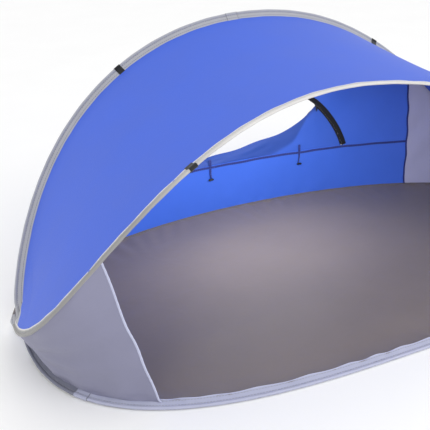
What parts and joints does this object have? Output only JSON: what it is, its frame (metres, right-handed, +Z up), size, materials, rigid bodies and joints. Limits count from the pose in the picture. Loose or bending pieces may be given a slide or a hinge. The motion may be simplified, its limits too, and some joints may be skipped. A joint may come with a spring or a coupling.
{
  "type": "pop up tent",
  "caption": "Low half-open beach shelter: crossed spring-wire loops in sewn sleeves, roof, rear wall with zipped half-moon window, corner gussets and a floor.",
  "frame": {"origin": "on the ground under the middle of the floor, level with the corner-to-corner line's middle in X", "axes": "+Z up, the open entrance faces -Y, +X runs from the left corner to the right one as seen from the entrance"},
  "size_m": [2.2566, 1.2615, 0.8701],
  "materials": {
    "spring_steel": "dull drawn spring wire",
    "sleeve_grey": "light grey woven binding tape",
    "sleeve_pale": "pale lavender-grey woven binding tape",
    "cloth_blue": "bright blue coated polyester, slight sheen",
    "cloth_wall": "deeper blue coated polyester",
    "cloth_grey": "lavender-grey polyester",
    "cloth_floor": "grey-brown coated floor cloth with a slight sheen",
    "tape_navy": "navy seam binding",
    "zip_black": "black zip tape",
    "webbing_black": "black webbing tab",
    "plastic_black": "black moulded plastic"
  },
  "bodies": {
    "root": {"rear_ground_wire": "spring_steel", "rear_ground_sleeve": "sleeve_grey", "loop_b_ferrule": "spring_steel", "corner_wrap_left": "sleeve_grey", "corner_wrap_right": "sleeve_grey", "floor_sheet": "cloth_floor", "wall_lower_panel": "cloth_wall", "wall_end_left": "cloth_grey", "wall_end_right": "cloth_grey", "wall_side_seam_left": "tape_navy", "wall_side_seam_right": "tape_navy"},
    "ridge_arch": {"ridge_wire": "spring_steel", "ridge_sleeve": "sleeve_grey", "loop_a_ferrule": "spring_steel", "ridge_sleeve_joint": "sleeve_grey", "ridge_tab_left": "webbing_black", "ridge_tab_right": "webbing_black", "roof_panel": "cloth_blue", "wall_upper_panel": "cloth_wall", "wall_seam_tape": "tape_navy", "window_zip_tape": "zip_black", "tie_loop_left": "tape_navy", "tie_loop_right": "tape_navy"},
    "lip_arch": {"lip_wire": "spring_steel", "lip_sleeve": "sleeve_pale", "lip_tab_left": "webbing_black", "lip_tab_right": "webbing_black"},
    "front_hoop": {"front_ground_wire": "spring_steel", "front_ground_sleeve": "sleeve_pale", "front_sleeve_joint": "sleeve_grey", "gusset_left": "cloth_grey", "gusset_right": "cloth_grey", "gusset_hem_left": "sleeve_pale", "gusset_hem_right": "sleeve_pale"},
    "flap": {"window_flap": "cloth_wall", "flap_zip_tape": "zip_black"},
    "slider": {"zip_slider": "plastic_black"},
    "pull": {"zip_pull": "plastic_black"},
    "tie_left": {"tie_strap_left": "tape_navy", "tie_toggle_left": "plastic_black"},
    "tie_right": {"tie_strap_right": "tape_navy", "tie_toggle_right": "plastic_black"}
  },
  "joints": [
    {"name": "front_fold", "type": "hinge", "parent": "root", "child": "front_hoop", "pos_m": [0, -0.04072, 0.04282], "axis": [-1, 0, 0], "range_deg": [0, 140], "deforming": ["roof_panel", "wall_lower_panel", "wall_end_left", "wall_end_right", "wall_side_seam_left", "wall_side_seam_right", "floor_sheet", "gusset_left", "gusset_right", "gusset_hem_left", "gusset_hem_right"]},
    {"name": "lip_fold", "type": "hinge", "parent": "root", "child": "lip_arch", "pos_m": [0, -0.04072, 0.04282], "axis": [-1, 0, 0], "range_deg": [0, 81]},
    {"name": "ridge_fold", "type": "hinge", "parent": "root", "child": "ridge_arch", "pos_m": [0, -0.04072, 0.04282], "axis": [-1, 0, 0], "range_deg": [0, 14.5]},
    {"name": "flap_drop", "type": "hinge", "parent": "ridge_arch", "child": "flap", "pos_m": [0, 0.5315, 0.229], "axis": [-1, 0, 0], "range_deg": [0, 150]},
    {"name": "zip_travel", "type": "hinge", "parent": "ridge_arch", "child": "slider", "pos_m": [0, 0.48678, 0.095], "axis": [0, 0.997, -0.0775], "range_deg": [-110, 28]},
    {"name": "pull_swing", "type": "hinge", "parent": "slider", "child": "pull", "pos_m": [0.29654, 0.50388, 0.43613], "axis": [0, 0.997, -0.0775], "range_deg": [-112, 112]},
    {"name": "tie_left_swing", "type": "hinge", "parent": "ridge_arch", "child": "tie_left", "pos_m": [-0.217, 0.51566, 0.219], "axis": [-1, 0, 0], "range_deg": [0, 150]},
    {"name": "tie_right_swing", "type": "hinge", "parent": "ridge_arch", "child": "tie_right", "pos_m": [0.217, 0.51566, 0.219], "axis": [-1, 0, 0], "range_deg": [0, 150]}
  ],
  "couplings": [
    {"joint": "lip_fold", "follows": "front_fold", "ratio": 0.575},
    {"joint": "ridge_fold", "follows": "front_fold", "ratio": 0.1}
  ]
}
